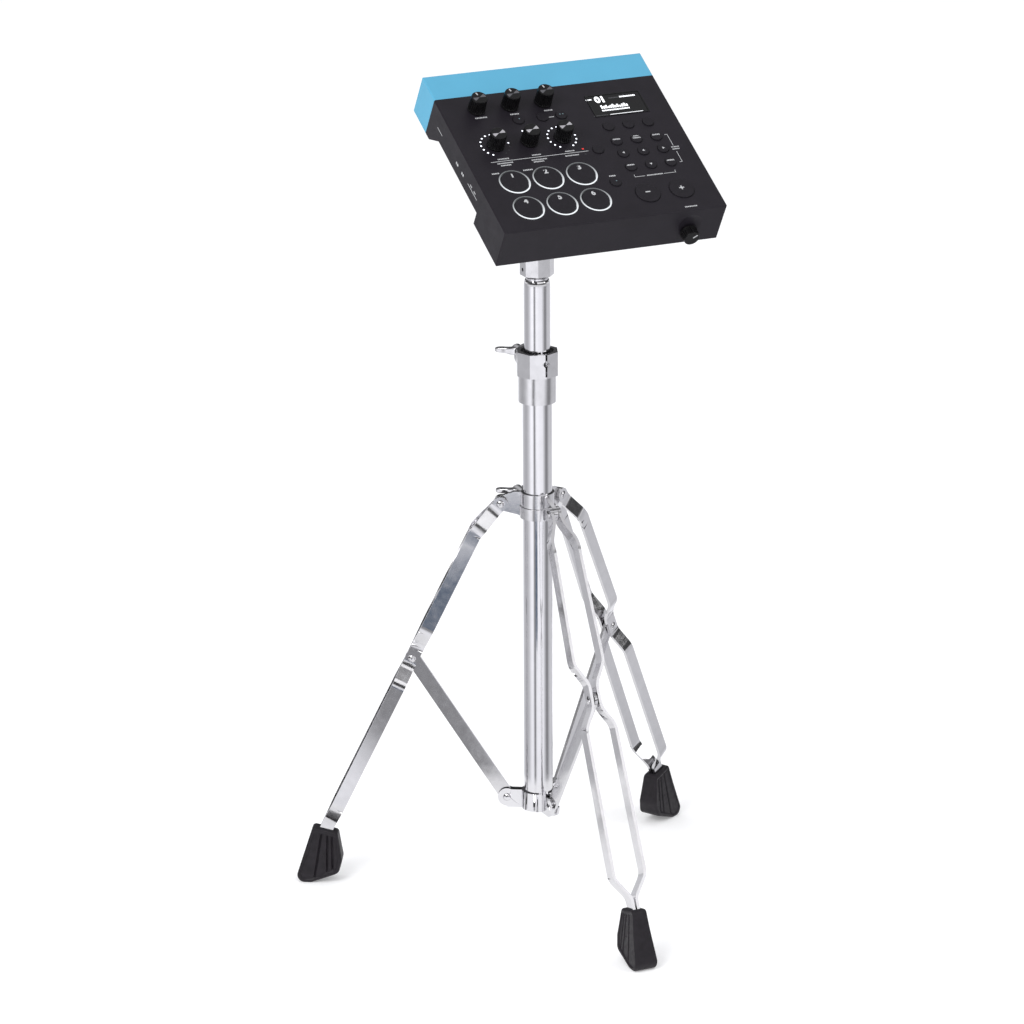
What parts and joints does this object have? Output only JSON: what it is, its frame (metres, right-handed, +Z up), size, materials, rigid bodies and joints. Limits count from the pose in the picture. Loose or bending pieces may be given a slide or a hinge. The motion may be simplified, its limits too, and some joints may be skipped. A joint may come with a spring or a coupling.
{
  "type": "percussion trigger module on a tripod stand",
  "caption": "Slanted electronic percussion control module with knobs, lit pads and a display, on a folding double-braced tripod stand with a height pole.",
  "frame": {"origin": "on the floor, under the middle of the bounding box", "axes": "+Z up, +X to the right of the player facing the module, -Y towards the player"},
  "size_m": [0.4286, 0.3712, 0.8179],
  "materials": {
    "chrome": "bright chrome plated steel",
    "cast_chrome": "chrome plated casting",
    "rubber": "moulded black rubber",
    "nylon": "black nylon",
    "plate_steel": "black powder coat",
    "case_black": "fine grained black",
    "case_blue": "satin sky blue",
    "display": "black gloss window",
    "light_ring": "clear light ring",
    "board": "green solder mask",
    "socket": "black sockets with nickel nuts",
    "knob_black": "black with white pointer",
    "key_black": "black silicone keys"
  },
  "bodies": {
    "base": {"base_tube": "chrome", "lower_collar": "chrome", "height_clamp": "cast_chrome", "clamp_bushing": "nylon"},
    "height_bolt": {"height_wing_bolt": "cast_chrome"},
    "hub": {"leg_hub": "cast_chrome"},
    "hub_bolt": {"hub_wing_bolt": "cast_chrome"},
    "front_leg": {"front_leg": "chrome", "front_foot": "rubber"},
    "front_brace": {"front_brace": "chrome"},
    "right_leg": {"right_leg": "chrome", "right_foot": "rubber"},
    "right_brace": {"right_brace": "chrome"},
    "left_leg": {"left_leg": "chrome", "left_foot": "rubber"},
    "left_brace": {"left_brace": "chrome"},
    "pole": {"pole": "chrome"},
    "tilter": {"tilter_base": "cast_chrome"},
    "tilter_bolt": {"tilter_wing_bolt": "cast_chrome"},
    "module": {"tilter_head": "cast_chrome", "mounting_plate": "plate_steel", "bottom_case": "case_black", "top_case": "case_black", "rear_cover": "case_blue", "display_window": "display", "pad_rings": "light_ring", "main_board": "board", "jack_sockets": "socket"},
    "master_knob": {"master_knob": "knob_black"},
    "click_knob": {"click_knob": "knob_black"},
    "song_knob": {"song_knob": "knob_black"},
    "volume_knob": {"volume_knob": "knob_black"},
    "pitch_knob": {"pitch_knob": "knob_black"},
    "decay_knob": {"decay_knob": "knob_black"},
    "phones_knob": {"phones_knob": "knob_black"},
    "click_key": {"click_key": "key_black"},
    "song_stop_key": {"song_stop_key": "key_black"},
    "song_play_key": {"song_play_key": "key_black"},
    "layer_key": {"layer_key": "key_black"},
    "f1_key": {"f1_key": "key_black"},
    "f2_key": {"f2_key": "key_black"},
    "f3_key": {"f3_key": "key_black"},
    "menu_key": {"menu_key": "key_black"},
    "tools_key": {"tools_key": "key_black"},
    "lock_key": {"lock_key": "key_black"},
    "left_key": {"left_key": "key_black"},
    "up_key": {"up_key": "key_black"},
    "right_key": {"right_key": "key_black"},
    "exit_key": {"exit_key": "key_black"},
    "down_key": {"down_key": "key_black"},
    "enter_key": {"enter_key": "key_black"},
    "layer_2_key": {"layer_2_key": "key_black"},
    "minus_key": {"minus_key": "key_black"},
    "plus_key": {"plus_key": "key_black"},
    "pad_1": {"pad_1": "key_black"},
    "pad_2": {"pad_2": "key_black"},
    "pad_3": {"pad_3": "key_black"},
    "pad_4": {"pad_4": "key_black"},
    "pad_5": {"pad_5": "key_black"},
    "pad_6": {"pad_6": "key_black"}
  },
  "joints": [
    {"name": "hub_slide", "type": "slide", "parent": "base", "child": "hub", "axis": [0, 0, 1], "range_m": [0, 0.0491]},
    {"name": "front_leg_hinge", "type": "hinge", "parent": "hub", "child": "front_leg", "pos_m": [0, 0.01913, 0.3994], "axis": [1, 0, 0], "range_deg": [0, 25.7]},
    {"name": "front_brace_hinge", "type": "hinge", "parent": "base", "child": "front_brace", "pos_m": [0, 0.02423, 0.0943], "axis": [-1, 0, 0], "range_deg": [0, 28.2]},
    {"name": "right_leg_hinge", "type": "hinge", "parent": "hub", "child": "right_leg", "pos_m": [0.031, 0.07283, 0.3994], "axis": [-0.5, 0.866, 0], "range_deg": [0, 25.7]},
    {"name": "right_brace_hinge", "type": "hinge", "parent": "base", "child": "right_brace", "pos_m": [0.02659, 0.07028, 0.0943], "axis": [0.5, -0.866, 0], "range_deg": [0, 28.2]},
    {"name": "left_leg_hinge", "type": "hinge", "parent": "hub", "child": "left_leg", "pos_m": [-0.031, 0.07283, 0.3994], "axis": [-0.5, -0.866, 0], "range_deg": [0, 25.7]},
    {"name": "left_brace_hinge", "type": "hinge", "parent": "base", "child": "left_brace", "pos_m": [-0.02659, 0.07028, 0.0943], "axis": [0.5, 0.866, 0], "range_deg": [0, 28.2]},
    {"name": "hub_bolt_turn", "type": "hinge", "parent": "hub", "child": "hub_bolt", "pos_m": [0, 0.08493, 0.399], "axis": [0, 1, 0], "range_deg": [-180, 180]},
    {"name": "height_bolt_turn", "type": "hinge", "parent": "base", "child": "height_bolt", "pos_m": [0, 0.08493, 0.5425], "axis": [0, 1, 0], "range_deg": [-180, 180]},
    {"name": "pole_slide", "type": "slide", "parent": "base", "child": "pole", "axis": [0, 0, 1], "range_m": [-0.055, 0.18]},
    {"name": "swivel", "type": "hinge", "parent": "pole", "child": "tilter", "pos_m": [0, 0.05493, 0.64], "axis": [0, 0, 1], "range_deg": [-180, 180]},
    {"name": "tilt", "type": "hinge", "parent": "tilter", "child": "module", "pos_m": [0, 0.05493, 0.697], "axis": [1, 0, 0], "range_deg": [-30.25, 30]},
    {"name": "tilter_bolt_turn", "type": "hinge", "parent": "tilter", "child": "tilter_bolt", "pos_m": [0.03, 0.05493, 0.697], "axis": [1, 0, 0], "range_deg": [-180, 180]},
    {"name": "master_knob_turn", "type": "hinge", "parent": "module", "child": "master_knob", "pos_m": [-0.0533, 0.07563, 0.79231], "axis": [0, -0.5038, 0.8638], "range_deg": [-150, 150]},
    {"name": "click_knob_turn", "type": "hinge", "parent": "module", "child": "click_knob", "pos_m": [-0.0185, 0.07563, 0.79231], "axis": [0, -0.5038, 0.8638], "range_deg": [-150, 150]},
    {"name": "song_knob_turn", "type": "hinge", "parent": "module", "child": "song_knob", "pos_m": [0.0163, 0.07563, 0.79231], "axis": [0, -0.5038, 0.8638], "range_deg": [-150, 150]},
    {"name": "volume_knob_turn", "type": "hinge", "parent": "module", "child": "volume_knob", "pos_m": [-0.0533, 0.0327, 0.76727], "axis": [0, -0.5038, 0.8638], "range_deg": [-150, 150]},
    {"name": "pitch_knob_turn", "type": "hinge", "parent": "module", "child": "pitch_knob", "pos_m": [-0.0185, 0.0327, 0.76727], "axis": [0, -0.5038, 0.8638], "range_deg": [-150, 150]},
    {"name": "decay_knob_turn", "type": "hinge", "parent": "module", "child": "decay_knob", "pos_m": [0.0163, 0.0327, 0.76727], "axis": [0, -0.5038, 0.8638], "range_deg": [-150, 150]},
    {"name": "phones_knob_turn", "type": "hinge", "parent": "module", "child": "phones_knob", "pos_m": [0.1076, -0.05104, 0.68556], "axis": [0, -0.8638, -0.5038], "range_deg": [-150, 150]},
    {"name": "click_key_press", "type": "slide", "parent": "module", "child": "click_key", "axis": [0, 0.5038, -0.8638], "range_m": [0, 0.0008], "stiffness_N_per_m": 600, "springref_m": -0.0005},
    {"name": "song_stop_key_press", "type": "slide", "parent": "module", "child": "song_stop_key", "axis": [0, 0.5038, -0.8638], "range_m": [0, 0.0008], "stiffness_N_per_m": 600, "springref_m": -0.0005},
    {"name": "song_play_key_press", "type": "slide", "parent": "module", "child": "song_play_key", "axis": [0, 0.5038, -0.8638], "range_m": [0, 0.0008], "stiffness_N_per_m": 600, "springref_m": -0.0005},
    {"name": "layer_key_press", "type": "slide", "parent": "module", "child": "layer_key", "axis": [0, 0.5038, -0.8638], "range_m": [0, 0.0008], "stiffness_N_per_m": 600, "springref_m": -0.0005},
    {"name": "f1_key_press", "type": "slide", "parent": "module", "child": "f1_key", "axis": [0, 0.5038, -0.8638], "range_m": [0, 0.0008], "stiffness_N_per_m": 600, "springref_m": -0.0005},
    {"name": "f2_key_press", "type": "slide", "parent": "module", "child": "f2_key", "axis": [0, 0.5038, -0.8638], "range_m": [0, 0.0008], "stiffness_N_per_m": 600, "springref_m": -0.0005},
    {"name": "f3_key_press", "type": "slide", "parent": "module", "child": "f3_key", "axis": [0, 0.5038, -0.8638], "range_m": [0, 0.0008], "stiffness_N_per_m": 600, "springref_m": -0.0005},
    {"name": "menu_key_press", "type": "slide", "parent": "module", "child": "menu_key", "axis": [0, 0.5038, -0.8638], "range_m": [0, 0.0008], "stiffness_N_per_m": 600, "springref_m": -0.0005},
    {"name": "tools_key_press", "type": "slide", "parent": "module", "child": "tools_key", "axis": [0, 0.5038, -0.8638], "range_m": [0, 0.0008], "stiffness_N_per_m": 600, "springref_m": -0.0005},
    {"name": "lock_key_press", "type": "slide", "parent": "module", "child": "lock_key", "axis": [0, 0.5038, -0.8638], "range_m": [0, 0.0008], "stiffness_N_per_m": 600, "springref_m": -0.0005},
    {"name": "left_key_press", "type": "slide", "parent": "module", "child": "left_key", "axis": [0, 0.5038, -0.8638], "range_m": [0, 0.0008], "stiffness_N_per_m": 600, "springref_m": -0.0005},
    {"name": "up_key_press", "type": "slide", "parent": "module", "child": "up_key", "axis": [0, 0.5038, -0.8638], "range_m": [0, 0.0008], "stiffness_N_per_m": 600, "springref_m": -0.0005},
    {"name": "right_key_press", "type": "slide", "parent": "module", "child": "right_key", "axis": [0, 0.5038, -0.8638], "range_m": [0, 0.0008], "stiffness_N_per_m": 600, "springref_m": -0.0005},
    {"name": "exit_key_press", "type": "slide", "parent": "module", "child": "exit_key", "axis": [0, 0.5038, -0.8638], "range_m": [0, 0.0008], "stiffness_N_per_m": 600, "springref_m": -0.0005},
    {"name": "down_key_press", "type": "slide", "parent": "module", "child": "down_key", "axis": [0, 0.5038, -0.8638], "range_m": [0, 0.0008], "stiffness_N_per_m": 600, "springref_m": -0.0005},
    {"name": "enter_key_press", "type": "slide", "parent": "module", "child": "enter_key", "axis": [0, 0.5038, -0.8638], "range_m": [0, 0.0008], "stiffness_N_per_m": 600, "springref_m": -0.0005},
    {"name": "layer_2_key_press", "type": "slide", "parent": "module", "child": "layer_2_key", "axis": [0, 0.5038, -0.8638], "range_m": [0, 0.0008], "stiffness_N_per_m": 600, "springref_m": -0.0005},
    {"name": "minus_key_press", "type": "slide", "parent": "module", "child": "minus_key", "axis": [0, 0.5038, -0.8638], "range_m": [0, 0.0008], "stiffness_N_per_m": 600, "springref_m": -0.0005},
    {"name": "plus_key_press", "type": "slide", "parent": "module", "child": "plus_key", "axis": [0, 0.5038, -0.8638], "range_m": [0, 0.0008], "stiffness_N_per_m": 600, "springref_m": -0.0005},
    {"name": "pad_1_press", "type": "slide", "parent": "module", "child": "pad_1", "axis": [0, 0.5038, -0.8638], "range_m": [0, 0.0008], "stiffness_N_per_m": 600, "springref_m": -0.0005},
    {"name": "pad_2_press", "type": "slide", "parent": "module", "child": "pad_2", "axis": [0, 0.5038, -0.8638], "range_m": [0, 0.0008], "stiffness_N_per_m": 600, "springref_m": -0.0005},
    {"name": "pad_3_press", "type": "slide", "parent": "module", "child": "pad_3", "axis": [0, 0.5038, -0.8638], "range_m": [0, 0.0008], "stiffness_N_per_m": 600, "springref_m": -0.0005},
    {"name": "pad_4_press", "type": "slide", "parent": "module", "child": "pad_4", "axis": [0, 0.5038, -0.8638], "range_m": [0, 0.0008], "stiffness_N_per_m": 600, "springref_m": -0.0005},
    {"name": "pad_5_press", "type": "slide", "parent": "module", "child": "pad_5", "axis": [0, 0.5038, -0.8638], "range_m": [0, 0.0008], "stiffness_N_per_m": 600, "springref_m": -0.0005},
    {"name": "pad_6_press", "type": "slide", "parent": "module", "child": "pad_6", "axis": [0, 0.5038, -0.8638], "range_m": [0, 0.0008], "stiffness_N_per_m": 600, "springref_m": -0.0005}
  ],
  "couplings": [
    {"joint": "front_leg_hinge", "follows": "hub_slide", "rad_per_m": 9.0973},
    {"joint": "front_brace_hinge", "follows": "hub_slide", "rad_per_m": 9.9763},
    {"joint": "right_leg_hinge", "follows": "hub_slide", "rad_per_m": 9.0973},
    {"joint": "right_brace_hinge", "follows": "hub_slide", "rad_per_m": 9.9763},
    {"joint": "left_leg_hinge", "follows": "hub_slide", "rad_per_m": 9.0973},
    {"joint": "left_brace_hinge", "follows": "hub_slide", "rad_per_m": 9.9763}
  ]
}
